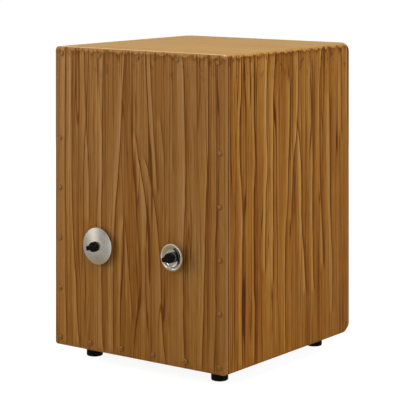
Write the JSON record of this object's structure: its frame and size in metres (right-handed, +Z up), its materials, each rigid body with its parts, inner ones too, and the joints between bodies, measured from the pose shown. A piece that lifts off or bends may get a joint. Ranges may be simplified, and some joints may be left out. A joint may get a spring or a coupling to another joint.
{
  "type": "cajon",
  "caption": "Wooden box drum with a screwed-on striking plate, rear sound hole, inner snare wires, rubber feet and metal discs held by wing nuts.",
  "frame": {"origin": "on the floor, below the middle of the overall bounding box, whose front is the wing nuts' tips and whose rear is the back panel", "axes": "+Z up, -Y towards the front (the striking plate and the discs), +X towards the right-hand side seen from the front"},
  "size_m": [0.314, 0.3536, 0.466],
  "materials": {
    "front_veneer": "satin lacquered zebra-striped veneer",
    "side_veneer": "satin lacquered zebra-striped veneer",
    "top_veneer": "satin lacquered pale veneer",
    "inner_ply": "raw plywood",
    "rubber": "moulded black rubber",
    "screw_steel": "dull plated steel",
    "zinc_steel": "zinc plated steel",
    "satin_nickel": "satin nickel plate",
    "chrome": "polished chrome",
    "black_nut": "moulded black plastic",
    "felt": "dense black felt",
    "foam": "open-cell foam",
    "snare_steel": "coiled steel wire"
  },
  "bodies": {
    "box": {"top_panel": "top_veneer", "bottom_panel": "side_veneer", "left_side_panel": "side_veneer", "right_side_panel": "side_veneer", "back_panel": "side_veneer", "tapa": "front_veneer", "front_frame_top_rail": "side_veneer", "front_frame_bottom_rail": "side_veneer", "front_frame_left_stile": "side_veneer", "front_frame_right_stile": "side_veneer", "corner_block_top_left": "inner_ply", "corner_block_top_right": "inner_ply", "corner_block_bottom_left": "inner_ply", "corner_block_bottom_right": "inner_ply", "tapa_screw_01": "screw_steel", "tapa_screw_02": "screw_steel", "tapa_screw_03": "screw_steel", "tapa_screw_04": "screw_steel", "tapa_screw_05": "screw_steel", "tapa_screw_06": "screw_steel", "tapa_screw_07": "screw_steel", "tapa_screw_08": "screw_steel", "tapa_screw_09": "screw_steel", "tapa_screw_10": "screw_steel", "tapa_screw_11": "screw_steel", "tapa_screw_12": "screw_steel", "tapa_screw_13": "screw_steel", "tapa_screw_14": "screw_steel", "tapa_screw_15": "screw_steel", "tapa_screw_16": "screw_steel", "tapa_screw_17": "screw_steel", "tapa_screw_18": "screw_steel", "tapa_screw_19": "screw_steel", "foot_front_left": "rubber", "foot_front_right": "rubber", "foot_rear_left": "rubber", "foot_rear_right": "rubber", "foot_screw_front_left": "zinc_steel", "foot_screw_front_right": "zinc_steel", "foot_screw_rear_left": "zinc_steel", "foot_screw_rear_right": "zinc_steel", "snare_bar": "inner_ply", "snare_wires_left": "snare_steel", "snare_wires_right": "snare_steel", "snare_screw_left": "zinc_steel", "snare_screw_right": "zinc_steel", "snare_damper": "foam", "large_stud": "zinc_steel", "large_lock_nut": "zinc_steel", "large_felt_washer": "felt", "small_stud": "zinc_steel", "small_lock_nut": "zinc_steel", "small_felt_washer": "felt"},
    "large_disc_body": {"large_disc": "satin_nickel"},
    "large_nut_carriage": {"large_steel_washer": "zinc_steel"},
    "large_wing_nut_body": {"large_wing_nut": "black_nut"},
    "small_disc_body": {"small_disc": "chrome"},
    "small_nut_carriage": {"small_steel_washer": "zinc_steel"},
    "small_wing_nut_body": {"small_wing_nut": "black_nut"}
  },
  "joints": [
    {"name": "large_disc_spin", "type": "hinge", "parent": "box", "child": "large_disc_body", "pos_m": [-0.07, -0.1645, 0.1765], "axis": [0, -1, 0], "continuous": true},
    {"name": "large_nut_travel", "type": "slide", "parent": "box", "child": "large_nut_carriage", "axis": [0, -1, 0], "range_m": [0, 0.003]},
    {"name": "large_nut_turn", "type": "hinge", "parent": "large_nut_carriage", "child": "large_wing_nut_body", "pos_m": [-0.07, -0.1674, 0.1765], "axis": [0, -1, 0], "range_deg": [0, 990]},
    {"name": "small_disc_spin", "type": "hinge", "parent": "box", "child": "small_disc_body", "pos_m": [0.07, -0.1645, 0.1765], "axis": [0, -1, 0], "continuous": true},
    {"name": "small_nut_travel", "type": "slide", "parent": "box", "child": "small_nut_carriage", "axis": [0, -1, 0], "range_m": [0, 0.003]},
    {"name": "small_nut_turn", "type": "hinge", "parent": "small_nut_carriage", "child": "small_wing_nut_body", "pos_m": [0.07, -0.1674, 0.1765], "axis": [0, -1, 0], "range_deg": [0, 990]}
  ],
  "couplings": [
    {"joint": "large_nut_travel", "follows": "large_nut_turn", "m_per_rad": 0.00015915},
    {"joint": "small_nut_travel", "follows": "small_nut_turn", "m_per_rad": 0.00015915}
  ]
}
